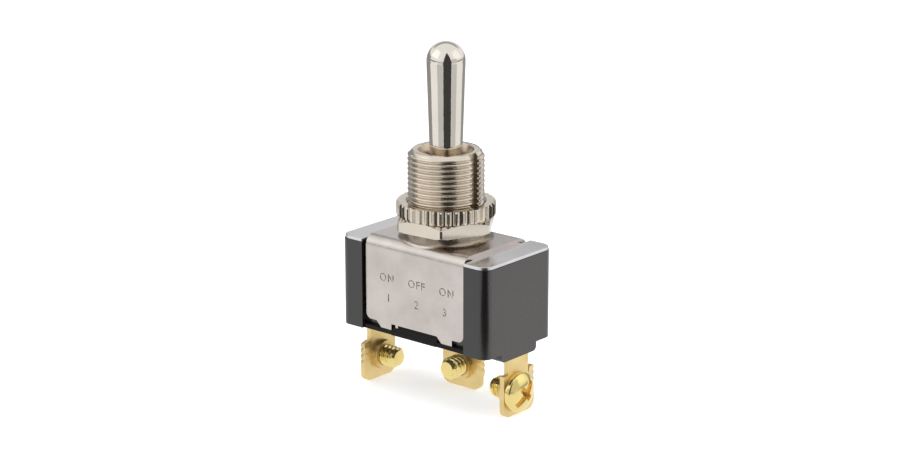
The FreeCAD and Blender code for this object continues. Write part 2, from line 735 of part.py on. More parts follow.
def make_terminal(label, place, size, arm, shift="0", mirrored=False):
    """Fold one terminal. Its outer face is at x = 0 and its arm runs towards -x inside the housing.

    The ear is on the far side, bent away from the screw's head: +y, or -y where the terminal is mirrored.
    """
    body = new_body(label, place)
    side = "-" if mirrored else ""
    foot, near, far = "-blade_foot", f"{size}_near", f"{size}_far"
    section = new_sketch(body, "front", f"{label}_section", f"-({near if mirrored else far})")
    draw_outline(section, [
        (0, foot), (0, f"{ARM_TOP} - blade_gauge", "blade_gauge"), ("-blade_gauge", ARM_TOP),
        (f"-{arm}", ARM_TOP), (f"-{arm}", FLOOR), ("-blade_gauge", FLOOR), ("-blade_gauge", foot),
    ])
    pad(body, section, f"{near} + {far}")
    neck = new_sketch(body, "side", f"{label}_neck")
    draw_box(neck, f"{side}(-{size}_neck_near)", "-blade_shoulder", f"{side}(-2 * {near})", 0)
    draw_box(neck, f"{side}({size}_neck_far)", "-ear_foot", f"{side}(2 * {far})", 0)
    pocket(body, neck, f"4 * {arm}", centred=True)
    round_edges(body, "Fillet", "blade_corner", lambda edge: lies_along(edge, "x", z=amount("blade_foot")))
    add_ear(body, size, side)
    boss = new_sketch(body, "side", f"{label}_boss", "-blade_gauge")
    draw_circle(boss, f"{side}(-{shift})", "-screw_drop", "boss_radius")
    pad(body, boss, "boss_height", backwards=True)
    hole = new_sketch(body, "side", f"{label}_hole")
    draw_circle(hole, f"{side}(-{shift})", "-screw_drop", SCREW_BORE)
    pocket(body, hole, "4 * (blade_gauge + boss_height)", centred=True)
    return body


def add_ear(body, size, side):
    """Add the ear above the blade's foot, with a slit below it."""
    ear = new_sketch(body, "level", f"{body.Name}_ear", "ear_slit - ear_foot")
    bend = f"{size}_neck_far"
    root, tip = f"{side}({bend} - blade_gauge)", f"{side}({bend} + {size}_ear)"
    setback = f"({size}_ear * tan(ear_angle))"
    draw_outline(ear, [
        ("-blade_gauge", root), (0, root), (0, f"{side}{bend}"), (f"-{setback}", tip),
        (f"-{setback} - blade_gauge", tip), ("-blade_gauge", f"{side}{bend}"),
    ])
    pad(body, ear, "ear_foot - ear_slit - ear_top")


def cut_contact_hole(body):
    """Drill the arm of an end terminal for its contact's rivet stem."""
    hole = new_sketch(body, "level", f"{body.Name}_rivet", ARM_TOP)
    draw_circle(hole, f"contact_reach - {END_FACE}", 0, "stem_radius + stem_fit")
    pocket(body, hole, "2 * blade_gauge")


def make_screw(label, place):
    """Turn one terminal screw. Its head's seat is at z = 0 and its tip points to -z."""
    body = new_body(label, place)
    profile = new_sketch(body, "front", f"{label}_profile")
    draw_outline(profile, [
        (0, "-screw_length"), ("screw_face", "-screw_length"),
        ("screw_radius", "screw_tip - screw_length"), ("screw_radius", 0),
        ("head_radius", 0), ("head_radius", "head_rim"), ("head_shoulder", "head_shoulder_rise"),
        ("head_crown", "head_height"), (0, "head_height"),
    ])
    revolve(body, profile)
    return body


def make_end_terminals():
    right = turned((0, 0, 1), 0, (END_FACE, 0, 0))
    left = turned((0, 0, 1), 180, (f"-{END_FACE}", 0, 0))
    pieces = []
    for label, place in (("terminal_right", right), ("terminal_left", left)):
        body = make_terminal(label, place, "end", END_ARM)
        cut_contact_hole(body)
        pieces.append(body)
    return pieces


def make_screws():
    outward = {
        "screw_right": turned((0, 1, 0), 90, (END_FACE, 0, "-screw_drop")),
        "screw_left": turned((0, 1, 0), -90, (f"-{END_FACE}", 0, "-screw_drop")),
        "screw_centre": turned((1, 0, 0), -90, ("-centre_shift", "centre_face", "-screw_drop")),
    }
    return [make_screw(label, place) for label, place in outward.items()]


def check_model(pieces):
    for item in doc.Objects:
        if any(word in item.State for word in ("Invalid", "Error")):
            raise ValueError(f"{item.Label} did not compute")
    for piece in pieces:
        if piece.Shape.isNull() or not piece.Shape.isValid():
            raise ValueError(f"{piece.Label} has no valid shape")
        if len(piece.Shape.Solids) != 1:
            raise ValueError(f"{piece.Label} is {len(piece.Shape.Solids)} solids")


def main():
    fill_sheet()
    centre = turned((0, 0, 1), 90, (0, "centre_face", 0))
    pieces = [
        make_bracket(), make_top_plate(), make_housing(), make_bushing(), make_hex_nut(), make_knurled_nut(),
        make_lever(), make_lever_pin(), make_plunger(), make_plunger_spring(), make_rocker(),
        make_moving_contact("moving_contact_right", 1), make_moving_contact("moving_contact_left", -1),
        make_saddle(), make_fixed_contact("fixed_contact_right", 1), make_fixed_contact("fixed_contact_left", -1),
        make_terminal("terminal_centre", centre, "centre", "centre_arm", "centre_shift", mirrored=True),
        *make_end_terminals(), *make_screws(),
    ]
    doc.recompute()
    check_model(pieces)
    os.makedirs("parts", exist_ok=True)
    for piece in pieces:
        piece.Shape.exportStep(f"parts/{piece.Label}.step")
        box = piece.Shape.BoundBox
        print(f"{piece.Label}: {piece.Shape.Volume:.2f} mm3, x {box.XMin:.2f} to {box.XMax:.2f}, "
              f"y {box.YMin:.2f} to {box.YMax:.2f}, z {box.ZMin:.2f} to {box.ZMax:.2f}")


main()
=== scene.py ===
import math

import bmesh
import bpy
from mathutils import Matrix, Vector


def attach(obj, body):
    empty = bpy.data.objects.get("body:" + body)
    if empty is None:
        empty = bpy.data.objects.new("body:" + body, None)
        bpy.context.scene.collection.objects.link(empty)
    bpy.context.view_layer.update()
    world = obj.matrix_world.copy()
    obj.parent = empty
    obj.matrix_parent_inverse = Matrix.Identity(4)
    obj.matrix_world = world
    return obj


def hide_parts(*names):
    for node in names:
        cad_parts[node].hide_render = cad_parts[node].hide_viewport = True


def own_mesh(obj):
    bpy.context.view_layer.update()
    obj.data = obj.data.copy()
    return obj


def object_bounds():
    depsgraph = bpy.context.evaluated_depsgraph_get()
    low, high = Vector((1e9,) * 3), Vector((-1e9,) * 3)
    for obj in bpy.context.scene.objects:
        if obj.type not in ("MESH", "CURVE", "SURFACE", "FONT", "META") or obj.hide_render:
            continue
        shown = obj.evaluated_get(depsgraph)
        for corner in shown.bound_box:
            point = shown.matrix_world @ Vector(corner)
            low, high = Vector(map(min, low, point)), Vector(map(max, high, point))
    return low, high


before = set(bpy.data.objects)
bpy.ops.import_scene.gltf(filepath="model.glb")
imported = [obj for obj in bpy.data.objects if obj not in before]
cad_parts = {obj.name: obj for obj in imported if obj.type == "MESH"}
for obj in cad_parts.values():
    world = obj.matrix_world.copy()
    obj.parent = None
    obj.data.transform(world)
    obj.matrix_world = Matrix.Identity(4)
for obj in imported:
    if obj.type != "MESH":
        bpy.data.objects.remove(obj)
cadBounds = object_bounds()

# Every mesh is drawn in millimetres and scaled to metres when it is finished.
millimetre = 0.001


# camera and studio

view = {
    "azimuth": 40.07,
    "elevation": 16.23,
    "distance": 387.14,
    "lens": 100,
    "target": (0, 0, -0.45),
    "shiftRight": 0.61,
    "shiftUp": 2.06,
    "sensor": 36,
    "clipStart": 0.01,
}


def directionAt(azimuth, elevation):
    across, up = math.radians(azimuth), math.radians(elevation)
    return Vector((math.sin(across) * math.cos(up), -math.cos(across) * math.cos(up), math.sin(up)))


def aimAt(obj, place, target):
    turn = (target - place).to_track_quat("-Z", "Y").to_matrix().to_4x4()
    obj.matrix_world = Matrix.Translation(place) @ turn


def addCamera():
    towards = directionAt(view["azimuth"], view["elevation"])
    turn = math.radians(view["azimuth"])
    right = Vector((math.cos(turn), math.sin(turn), 0))
    up = towards.cross(right)
    target = Vector(view["target"]) + right * view["shiftRight"] + up * view["shiftUp"]
    data = bpy.data.cameras.new("photoCamera")
    data.lens = view["lens"]
    data.sensor_width = view["sensor"]
    data.clip_start = view["clipStart"]
    camera = bpy.data.objects.new("photoCamera", data)
    bpy.context.scene.collection.objects.link(camera)
    aimAt(camera, (target + towards * view["distance"]) * millimetre, target * millimetre)
    bpy.context.scene.camera = camera


softboxes = {
    "keyBox": {"azimuth": -35, "elevation": 38, "distance": 0.75, "width": 0.8, "height": 0.7, "power": 1.95},
    "fillBox": {"azimuth": 118, "elevation": 25, "distance": 0.8, "width": 0.7, "height": 0.8, "power": 1.85},
    "topBox": {"azimuth": 60, "elevation": 80, "distance": 0.7, "width": 0.6, "height": 0.6, "power": 1.3},
}

# The cards show in reflections only. Their distances, widths and spans from foot to top are in metres.
# A topShare below 1 narrows the card towards its top.
cards = {
    "darkCard": {"azimuth": 48, "distance": 0.095, "width": 0.086, "span": (-0.026, 0.03), "glow": 0.058},
    "darkTop": {"azimuth": 48, "distance": 0.095, "width": 0.086, "span": (0.03, 0.16), "glow": 0.058,
                "topShare": 0.14},
    "rightCard": {"azimuth": 90, "distance": 0.11, "width": 0.064, "span": (-0.026, 0.06), "glow": 0.66},
    "leftCard": {"azimuth": 5, "distance": 0.11, "width": 0.068, "span": (-0.026, 0.035), "glow": 0.63},
    "farLeftCard": {"azimuth": -95, "distance": 0.095, "width": 0.12, "span": (-0.026, 0.052), "glow": 0.33},
    "farRightCard": {"azimuth": 186, "distance": 0.095, "width": 0.115, "span": (-0.026, 0.03), "glow": 0.36},
    "rearCard": {"azimuth": 220, "distance": 0.5, "width": 0.5, "span": (0.0, 0.34), "glow": 0.74},
    "rearTop": {"azimuth": 220, "distance": 0.5, "width": 1.0, "span": (0.34, 0.62), "glow": 0.36},
    "leftHorizon": {"azimuth": -45, "distance": 0.62, "width": 1.0, "span": (-0.01, 0.06), "glow": 0.3},
    "rightHorizon": {"azimuth": 120, "distance": 0.62, "width": 0.8, "span": (-0.01, 0.06), "glow": 0.35},
    "keyCard": {"azimuth": -38, "distance": 0.6, "width": 0.62, "span": (0.22, 0.9), "glow": 1.3},
    "fillCard": {"azimuth": 118, "distance": 0.6, "width": 0.6, "span": (0.16, 0.8), "glow": 1.2},
}

# The dark card's foot lies on the floor between the object and the standing card.
floorCard = {"azimuth": 48, "distance": 0.07, "width": 0.086, "length": 0.05, "lift": 0.0002}

# The lift brightens the floor for the camera alone. The gap keeps it clear of the blades' feet.
backdrop = {"shade": 0.9, "ambient": 0.55, "floorLift": 0.52, "floorSize": 6.0, "floorGap": 0.00002}


def addSoftboxes():
    for name, box in softboxes.items():
        data = bpy.data.lights.new(name, "AREA")
        data.shape = "RECTANGLE"
        data.size, data.size_y = box["width"], box["height"]
        data.energy = box["power"]
        lamp = bpy.data.objects.new(name, data)
        bpy.context.scene.collection.objects.link(lamp)
        lamp.visible_glossy = False
        aimAt(lamp, directionAt(box["azimuth"], box["elevation"]) * box["distance"], Vector((0, 0, 0)))


def newMaterial(name):
    material = bpy.data.materials.new(name)
    material.use_nodes = True
    material.node_tree.nodes.clear()
    return material, material.node_tree.nodes, material.node_tree.links


def addMath(nodes, links, operation, *terms, clamp=False):
    step = nodes.new("ShaderNodeMath")
    step.operation = operation
    step.use_clamp = clamp
    for socket, term in zip(step.inputs, terms):
        if isinstance(term, bpy.types.NodeSocket):
            links.new(term, socket)
        else:
            socket.default_value = term
    return step.outputs[0]


def raysOf(nodes, links, kinds):
    path = nodes.new("ShaderNodeLightPath")
    total = path.outputs[kinds[0]]
    for name in kinds[1:]:
        total = addMath(nodes, links, "ADD", total, path.outputs[name], clamp=True)
    return total


def addWorld():
    world = bpy.data.worlds.new("studioWorld")
    bpy.context.scene.world = world
    world.use_nodes = True
    nodes, links = world.node_tree.nodes, world.node_tree.links
    nodes.clear()
    plain, white = nodes.new("ShaderNodeBackground"), nodes.new("ShaderNodeBackground")
    plain.inputs["Strength"].default_value = backdrop["ambient"]
    for shader in (plain, white):
        shader.inputs["Color"].default_value = (1, 1, 1, 1)
    mix, out = nodes.new("ShaderNodeMixShader"), nodes.new("ShaderNodeOutputWorld")
    links.new(raysOf(nodes, links, ("Is Camera Ray", "Is Glossy Ray", "Is Transmission Ray")), mix.inputs[0])
    links.new(plain.outputs[0], mix.inputs[1])
    links.new(white.outputs[0], mix.inputs[2])
    links.new(mix.outputs[0], out.inputs["Surface"])


def addFloor():
    material, nodes, links = newMaterial("paleFloor")
    matt, glow, white = (nodes.new("ShaderNodeBsdfDiffuse"), nodes.new("ShaderNodeEmission"),
                         nodes.new("ShaderNodeEmission"))
    matt.inputs["Color"].default_value = (backdrop["shade"],) * 3 + (1,)
    lift = addMath(nodes, links, "MULTIPLY", raysOf(nodes, links, ("Is Camera Ray",)), backdrop["floorLift"])
    links.new(lift, glow.inputs["Strength"])
    both, mix, out = (nodes.new("ShaderNodeAddShader"), nodes.new("ShaderNodeMixShader"),
                      nodes.new("ShaderNodeOutputMaterial"))
    links.new(matt.outputs[0], both.inputs[0])
    links.new(glow.outputs[0], both.inputs[1])
    links.new(raysOf(nodes, links, ("Is Glossy Ray", "Is Transmission Ray")), mix.inputs[0])
    links.new(both.outputs[0], mix.inputs[1])
    links.new(white.outputs[0], mix.inputs[2])
    links.new(mix.outputs[0], out.inputs["Surface"])
    bm = bmesh.new()
    bmesh.ops.create_grid(bm, x_segments=1, y_segments=1, size=backdrop["floorSize"] / 2)
    bmesh.ops.translate(bm, verts=bm.verts, vec=(0, 0, cadBounds[0][2] - backdrop["floorGap"]))
    addStage("paleFloor", bm, material)


def addCard(name, width, height, glow, topShare=1):
    material, nodes, links = newMaterial(name)
    light, out = nodes.new("ShaderNodeEmission"), nodes.new("ShaderNodeOutputMaterial")
    light.inputs["Color"].default_value = (1, 1, 1, 1)
    light.inputs["Strength"].default_value = glow
    links.new(light.outputs[0], out.inputs["Surface"])
    bm = bmesh.new()
    bmesh.ops.create_grid(bm, x_segments=1, y_segments=1, size=0.5)
    bmesh.ops.scale(bm, verts=bm.verts, vec=(width, height, 1))
    bmesh.ops.scale(bm, verts=[vert for vert in bm.verts if vert.co.y > 0], vec=(topShare, 1, 1))
    obj = addStage(name, bm, material)
    obj.visible_camera = False
    obj.visible_diffuse = False
    obj.visible_shadow = False
    return obj


def addCards():
    for name, card in cards.items():
        low, high = card["span"]
        obj = addCard(name, card["width"], high - low, card["glow"], card.get("topShare", 1))
        place = directionAt(card["azimuth"], 0) * card["distance"]
        place.z = (low + high) / 2
        aimAt(obj, place, Vector((0, 0, place.z)))
    obj = addCard("floorCard", floorCard["width"], floorCard["length"], cards["darkCard"]["glow"])
    place = directionAt(floorCard["azimuth"], 0) * floorCard["distance"]
    place.z = cadBounds[0][2] + floorCard["lift"]
    obj.matrix_world = Matrix.Translation(place) @ Matrix.Rotation(math.radians(floorCard["azimuth"]), 4, "Z")


def addStage(name, bm, material):
    mesh = bpy.data.meshes.new(name)
    bm.to_mesh(mesh)
    bm.free()
    mesh.materials.append(material)
    obj = bpy.data.objects.new(name, mesh)
    bpy.context.scene.collection.objects.link(obj)
    return obj


# materials

finishes = {
    "leverNickel": {"color": (0.80, 0.755, 0.68), "roughness": 0.08, "grain": 1100, "bump": 0.1},
    "threadNickel": {"color": (0.72, 0.645, 0.545), "roughness": 0.16, "grain": 1900, "bump": 0.16},
    # Painted shade: the mouth's funnel gets a darker, browner nickel for the shade inside it.
    "shadedMouthNickel": {"color": (0.56, 0.46, 0.35), "roughness": 0.2, "grain": 1900, "bump": 0.1},
    # Painted shade: the keyway's slot gets a darker, browner nickel for the shade in it.
    "shadedKeywayNickel": {"color": (0.53, 0.44, 0.33), "roughness": 0.38, "grain": 1900, "bump": 0.1},
    "nutNickel": {"color": (0.73, 0.665, 0.575), "roughness": 0.13, "grain": 2200, "bump": 0.04},
    "strapSteel": {"color": (0.66, 0.61, 0.57), "roughness": 0.24, "grain": 6800, "bump": 0.17,
                   "variation": 0.16},
    # Painted reflection: the collar's dark colour stands in for the dark reflection on the drawn dome.
    "darkReflectionCollarSteel": {"color": (0.37, 0.31, 0.245), "roughness": 0.27, "grain": 3000, "bump": 0.1,
                    "variation": 0.2},
    "coverSteel": {"color": (0.73, 0.715, 0.725), "roughness": 0.2, "grain": 3000, "bump": 0.06},
    "housingPlastic": {"color": (0.009, 0.0078, 0.0074), "roughness": 0.2, "metallic": 0, "grain": 3400,
                       "bump": 0.07, "hatch": 6.0, "ior": 1.68},
    # Painted shade: rougher and less reflective than the housing, for the shade under the strap's overhang.
    "overhangShadePlastic": {"color": (0.010, 0.009, 0.0085), "roughness": 0.5, "metallic": 0, "grain": 3400,
                   "bump": 0.12, "ior": 1.26},
    "terminalBrass": {"color": (0.94, 0.72, 0.33), "roughness": 0.36, "metallic": 0.88, "grain": 3800,
                      "bump": 0.14, "variation": 0.22},
    "screwBrass": {"color": (0.92, 0.74, 0.30), "roughness": 0.15, "metallic": 0.92, "grain": 2600,
                   "bump": 0.05},
    "recessBrass": {"color": (0.96, 0.74, 0.34), "roughness": 0.2, "metallic": 0.85, "grain": 2600,
                    "bump": 0.1},
    "contactSilver": {"color": (0.80, 0.79, 0.76), "roughness": 0.3, "grain": 3000, "bump": 0.05},
    "springSteel": {"color": (0.50, 0.50, 0.52), "roughness": 0.26, "grain": 3000, "bump": 0.05},
    "plungerPlastic": {"color": (0.78, 0.75, 0.68), "roughness": 0.5, "metallic": 0, "grain": 2600,
                       "bump": 0.05},
}

# What a finish has where it says nothing else.
plainFinish = {"metallic": 1, "ior": 1.5, "variation": 0.08, "hatch": 0}

# The fine grain roughens and bumps a surface, and the broad cloud shades it.
grain = {"detail": 3, "cloudScale": 220, "cloudDetail": 5, "cloudRange": (0.3, 0.7),
         "roughRange": (0.75, 1.25), "bumpDistance": 0.0001}

# Sawing marks on the housing's two end faces, in metres along x and in marks a metre.
hatch = {"start": 0.01435, "full": 0.01462, "scale": 1300, "distortion": 3.0, "detail": 2}


def buildSurfaceGroup():
    group = bpy.data.node_groups.new("surfaceGrain", "ShaderNodeTree")
    face = group.interface
    face.new_socket("Color", in_out="INPUT", socket_type="NodeSocketColor")
    for name in ("Roughness", "Grain Scale", "Bump", "Variation", "Hatch"):
        face.new_socket(name, in_out="INPUT", socket_type="NodeSocketFloat")
    for name, kind in (("Color", "Color"), ("Roughness", "Float"), ("Normal", "Vector")):
        face.new_socket(name, in_out="OUTPUT", socket_type="NodeSocket" + kind)
    nodes, links = group.nodes, group.links
    given, out = nodes.new("NodeGroupInput"), nodes.new("NodeGroupOutput")
    place = nodes.new("ShaderNodeTexCoord")
    fine, cloud = nodes.new("ShaderNodeTexNoise"), nodes.new("ShaderNodeTexNoise")
    for noise in (fine, cloud):
        links.new(place.outputs["Object"], noise.inputs["Vector"])
    links.new(given.outputs["Grain Scale"], fine.inputs["Scale"])
    fine.inputs["Detail"].default_value = grain["detail"]
    cloud.inputs["Scale"].default_value = grain["cloudScale"]
    cloud.inputs["Detail"].default_value = grain["cloudDetail"]

    # colour: the cloud darkens it by the variation at most, and the hatch brightens it
    shade = nodes.new("ShaderNodeMapRange")
    links.new(cloud.outputs["Fac"], shade.inputs["Value"])
    shade.inputs["From Min"].default_value, shade.inputs["From Max"].default_value = grain["cloudRange"]
    links.new(addMath(nodes, links, "SUBTRACT", 1, given.outputs["Variation"]), shade.inputs["To Min"])
    shade.inputs["To Max"].default_value = 1
    marked = addMath(nodes, links, "MULTIPLY", shade.outputs["Result"], addHatch(nodes, links, place, given))
    tint = nodes.new("ShaderNodeMix")
    tint.data_type = "RGBA"
    tint.blend_type = "MULTIPLY"
    tint.inputs["Factor"].default_value = 1
    links.new(given.outputs["Color"], tint.inputs["A"])
    links.new(marked, tint.inputs["B"])
    links.new(tint.outputs["Result"], out.inputs["Color"])

    # roughness and bump from the fine grain
    spread = nodes.new("ShaderNodeMapRange")
    links.new(fine.outputs["Fac"], spread.inputs["Value"])
    spread.inputs["To Min"].default_value, spread.inputs["To Max"].default_value = grain["roughRange"]
    rough = addMath(nodes, links, "MULTIPLY", given.outputs["Roughness"], spread.outputs["Result"])
    links.new(rough, out.inputs["Roughness"])
    bump = nodes.new("ShaderNodeBump")
    bump.inputs["Distance"].default_value = grain["bumpDistance"]
    links.new(given.outputs["Bump"], bump.inputs["Strength"])
    links.new(fine.outputs["Fac"], bump.inputs["Height"])
    links.new(bump.outputs["Normal"], out.inputs["Normal"])
    return group


def addHatch(nodes, links, place, given):
    turned = nodes.new("ShaderNodeMapping")
    turned.inputs["Scale"].default_value = (0, -1, 1)  # marks run across y and z alone
    links.new(place.outputs["Object"], turned.inputs["Vector"])
    wave = nodes.new("ShaderNodeTexWave")
    wave.bands_direction = "DIAGONAL"
    for name in ("scale", "distortion", "detail"):
        wave.inputs[name.capitalize()].default_value = hatch[name]
    links.new(turned.outputs["Vector"], wave.inputs["Vector"])
    axes, edge = nodes.new("ShaderNodeSeparateXYZ"), nodes.new("ShaderNodeMapRange")
    links.new(place.outputs["Object"], axes.inputs[0])
    links.new(addMath(nodes, links, "ABSOLUTE", axes.outputs["X"]), edge.inputs["Value"])
    edge.inputs["From Min"].default_value = hatch["start"]
    edge.inputs["From Max"].default_value = hatch["full"]
    value = addMath(nodes, links, "MULTIPLY", wave.outputs["Fac"], edge.outputs["Result"])
    value = addMath(nodes, links, "MULTIPLY", value, given.outputs["Hatch"])
    return addMath(nodes, links, "ADD", 1, value)


def buildMaterials():
    group = buildSurfaceGroup()
    made = {}
    for name, own in finishes.items():
        finish = {**plainFinish, **own}
        material, nodes, links = newMaterial(name)
        surface, shader = nodes.new("ShaderNodeGroup"), nodes.new("ShaderNodeBsdfPrincipled")
        surface.node_tree = group
        surface.inputs["Color"].default_value = finish["color"] + (1,)
        surface.inputs["Roughness"].default_value = finish["roughness"]
        surface.inputs["Grain Scale"].default_value = finish["grain"]
        surface.inputs["Bump"].default_value = finish["bump"]
        surface.inputs["Variation"].default_value = finish["variation"]
        surface.inputs["Hatch"].default_value = finish["hatch"]
        shader.inputs["Metallic"].default_value = finish["metallic"]
        shader.inputs["IOR"].default_value = finish["ior"]
        out = nodes.new("ShaderNodeOutputMaterial")
        for ours, theirs in (("Color", "Base Color"), ("Roughness", "Roughness"), ("Normal", "Normal")):
            links.new(surface.outputs[ours], shader.inputs[theirs])
        links.new(shader.outputs[0], out.inputs["Surface"])
        made[name] = material
    return made


# mesh helpers

# Points closer than "weld" are merged in a new mesh, and closer than "node" in a copy of a CAD node, whose
# faces are joined below "flat" degrees. A thread is cut into the points within "shell" of its cylinder.
tolerance = {"weld": 0.0005, "node": 0.0008, "flat": 0.6, "cut": 0.0001, "edge": 0.01, "shell": 0.002,
             "rim": 0.001}

# The share of a thread's flank that runs straight. The rest is rounded.
straightFlank = 0.45


def latheProfile(corners, steps):
    bm = bmesh.new()
    verts = [bm.verts.new((radius, 0, height)) for radius, height in corners]
    edges = [bm.edges.new(pair) for pair in zip(verts, verts[1:] + verts[:1])]
    if corners[0][0] == 0 and corners[-1][0] == 0:
        bmesh.ops.delete(bm, geom=[edges.pop()], context="EDGES_FACES")
    bmesh.ops.spin(bm, geom=verts + edges, cent=(0, 0, 0), axis=(0, 0, 1), dvec=(0, 0, 0),
                   angle=2 * math.pi, steps=steps, use_merge=True, use_duplicate=False)
    bmesh.ops.remove_doubles(bm, verts=bm.verts, dist=tolerance["weld"])
    bmesh.ops.dissolve_degenerate(bm, edges=bm.edges, dist=tolerance["weld"])
    bmesh.ops.recalc_face_normals(bm, faces=bm.faces)
    return bm


def arcCorners(centre, radius, first, last, count):
    angles = [math.radians(first + (last - first) * i / count) for i in range(count + 1)]
    return [(centre[0] + radius * math.cos(a), centre[1] + radius * math.sin(a)) for a in angles]


def stackedCorners(radius, low, high, gap):
    count = max(1, round((high - low) / gap))
    return [(radius, low + (high - low) * i / count) for i in range(count + 1)]


def clamped(value):
    return min(1, max(0, value))


def drawIn(vert, scale):
    vert.co.x *= scale
    vert.co.y *= scale


def threadShare(phase, thread):
    wave = abs(phase - 0.5) * 2
    share = clamped((wave - thread["root"]) / (1 - thread["root"] - thread["crest"]))
    return straightFlank * share + (1 - straightFlank) * share * share * (3 - 2 * share)


def cutThread(bm, thread):
    for vert in bm.verts:
        radius = math.hypot(vert.co.x, vert.co.y)
        low, high = thread["low"], thread["high"]
        if abs(radius - thread["radius"]) > tolerance["shell"] or not low <= vert.co.z <= high:
            continue
        turn = math.atan2(vert.co.y, vert.co.x) / (2 * math.pi)
        cut = thread["depth"] * (1 - threadShare((vert.co.z / thread["pitch"] - turn) % 1, thread))
        cut *= clamped((high - vert.co.z - thread["plainTop"]) / thread["fade"])
        limit = min(radius, thread["topRadius"] + high - vert.co.z, thread["footRadius"] + vert.co.z - low)
        drawIn(vert, max(limit - cut, thread["floor"]) / radius)


def cutAcross(bm, faces, place, normal):
    geom = list({item for face in faces for item in (face, *face.edges, *face.verts)})
    bmesh.ops.bisect_plane(bm, geom=geom, dist=tolerance["cut"], plane_co=place, plane_no=normal)


def creaseEdges(mesh, crease):
    mesh.shade_smooth()
    mesh.set_sharp_from_angle(angle=math.radians(crease))


def finishPiece(name, bm, body, material, replaced, crease=30):
    bmesh.ops.scale(bm, verts=bm.verts, vec=(millimetre,) * 3)
    mesh = bpy.data.meshes.new(name)
    bm.to_mesh(mesh)
    bm.free()
    creaseEdges(mesh, crease)
    mesh.materials.append(material)
    piece = bpy.data.objects.new(name, mesh)
    bpy.context.scene.collection.objects.link(piece)
    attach(piece, body)
    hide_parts(*replaced)
    return piece


def coverFaces(piece, material, chosen):
    piece.data.materials.append(material)
    for face in piece.data.polygons:
        if chosen(face.center / millimetre):
            face.material_index = len(piece.data.materials) - 1


def copiedNode(node):
    bm = bmesh.new()
    bm.from_mesh(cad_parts[node].data)
    bmesh.ops.scale(bm, verts=bm.verts, vec=(1 / millimetre,) * 3)
    bmesh.ops.remove_doubles(bm, verts=bm.verts, dist=tolerance["node"])
    bmesh.ops.dissolve_degenerate(bm, edges=bm.edges, dist=tolerance["node"])
    bmesh.ops.dissolve_limit(bm, angle_limit=math.radians(tolerance["flat"]), verts=bm.verts, edges=bm.edges,
                             use_dissolve_boundaries=False, delimit=set())
    return bm


def addBevel(piece, width, angle=40):
    bevel = piece.modifiers.new("softEdges", "BEVEL")
    bevel.width = width * millimetre
    bevel.segments = 2
    bevel.limit_method = "ANGLE"
    bevel.angle_limit = math.radians(angle)
    bevel.use_clamp_overlap = True
    bevel.harden_normals = True
    bevel.miter_outer = "MITER_ARC"


def evenNormals(piece):
    even = piece.modifiers.new("evenNormals", "WEIGHTED_NORMAL")
    even.keep_sharp = True
    even.weight = 80  # the larger faces count for more


def applyModifiers(piece):
    seen = bpy.context.evaluated_depsgraph_get()
    mesh = bpy.data.meshes.new_from_object(piece.evaluated_get(seen))
    piece.modifiers.clear()
    piece.data = mesh


# bushing, nuts and lever

# The profile runs from the spigot's foot up the thread and back down the mouth's funnel and the ball's seat.
bushing = {
    "radius": 5.953, "low": 0.2, "high": 13.9, "pitch": 0.794, "depth": 0.44, "root": 0.12, "crest": 0.14,
    "topRadius": 5.2, "footRadius": 5.9, "plainTop": 0.3, "fade": 0.5, "floor": 5.1, "steps": 120,
    "rowsPerPitch": 12, "crease": 50,
    "spigot": 5.1, "spigotFoot": -1.6, "spigotTop": -0.6, "bore": 4.5, "boreTop": 3.0,
    "mouth": 4.27, "lipOut": 0.12, "lipIn": 0.02, "lipDrop": 0.1, "funnel": [(4.0, 12.3), (3.62, 10.9)],
    "mouthEdge": 0.05, "throat": 3.3, "seat": 3.95, "seatSteps": 6, "pivot": 7.5,
}

# Faces past the reach are cut along the keyway's walls. The points between them are set back to its floor.
keyway = {"half": 0.865, "floor": 5.053, "foot": 1.0, "reach": 4.6, "wall": 0.004}


def addBushing(materials):
    throatRise = bushing["pivot"] + math.sqrt(bushing["seat"] ** 2 - bushing["throat"] ** 2)
    first = math.degrees(math.acos(bushing["throat"] / bushing["seat"]))
    gap = bushing["pitch"] / bushing["rowsPerPitch"]
    corners = [(bushing["bore"], bushing["spigotFoot"]), (bushing["spigot"], bushing["spigotFoot"]),
               (bushing["spigot"], bushing["spigotTop"]), (bushing["radius"], bushing["spigotTop"])]
    corners += stackedCorners(bushing["radius"], bushing["low"], bushing["high"], gap)
    corners += [(bushing["mouth"] + bushing["lipOut"], bushing["high"]),
                (bushing["mouth"] + bushing["lipIn"], bushing["high"] - bushing["lipDrop"])]
    corners += bushing["funnel"] + [(bushing["throat"], throatRise)]
    corners += arcCorners((0, bushing["pivot"]), bushing["seat"], first, 0, bushing["seatSteps"])[1:]
    corners += [(bushing["seat"], bushing["boreTop"]), (bushing["bore"], bushing["boreTop"])]
    bm = latheProfile(corners, bushing["steps"])
    cutThread(bm, bushing)
    cutKeyway(bm)
    piece = finishPiece("threadedBushing", bm, "case", materials["threadNickel"], ("bushing",),
                        bushing["crease"])
    # Painted shade: the mouth's funnel is coloured darker than the thread.
    coverFaces(piece, materials["shadedMouthNickel"], isMouth)
    # Painted shade: the keyway's slot is coloured darker than the thread.
    coverFaces(piece, materials["shadedKeywayNickel"], isKeyway)


def isMouth(spot):
    return math.hypot(spot.x, spot.y) < bushing["mouth"] + bushing["mouthEdge"] and spot.z > bushing["pivot"]


def isKeyway(spot):
    return (spot.x > keyway["floor"] - tolerance["edge"] and spot.z > keyway["foot"]
            and abs(spot.y) < keyway["half"] + keyway["wall"] + tolerance["rim"])


def cutKeyway(bm):
    half, wall = keyway["half"], keyway["half"] + keyway["wall"]
    for place in (half, wall, -half, -wall):
        near = [face for face in bm.faces if face.calc_center_median().x > keyway["reach"]]
        cutAcross(bm, near, (0, place, 0), (0, 1, 0))
    for vert in bm.verts:
        inside = abs(vert.co.y) < half + tolerance["rim"] and vert.co.z > keyway["foot"]
        if inside and vert.co.x > keyway["floor"]:
            vert.co.x = keyway["floor"]


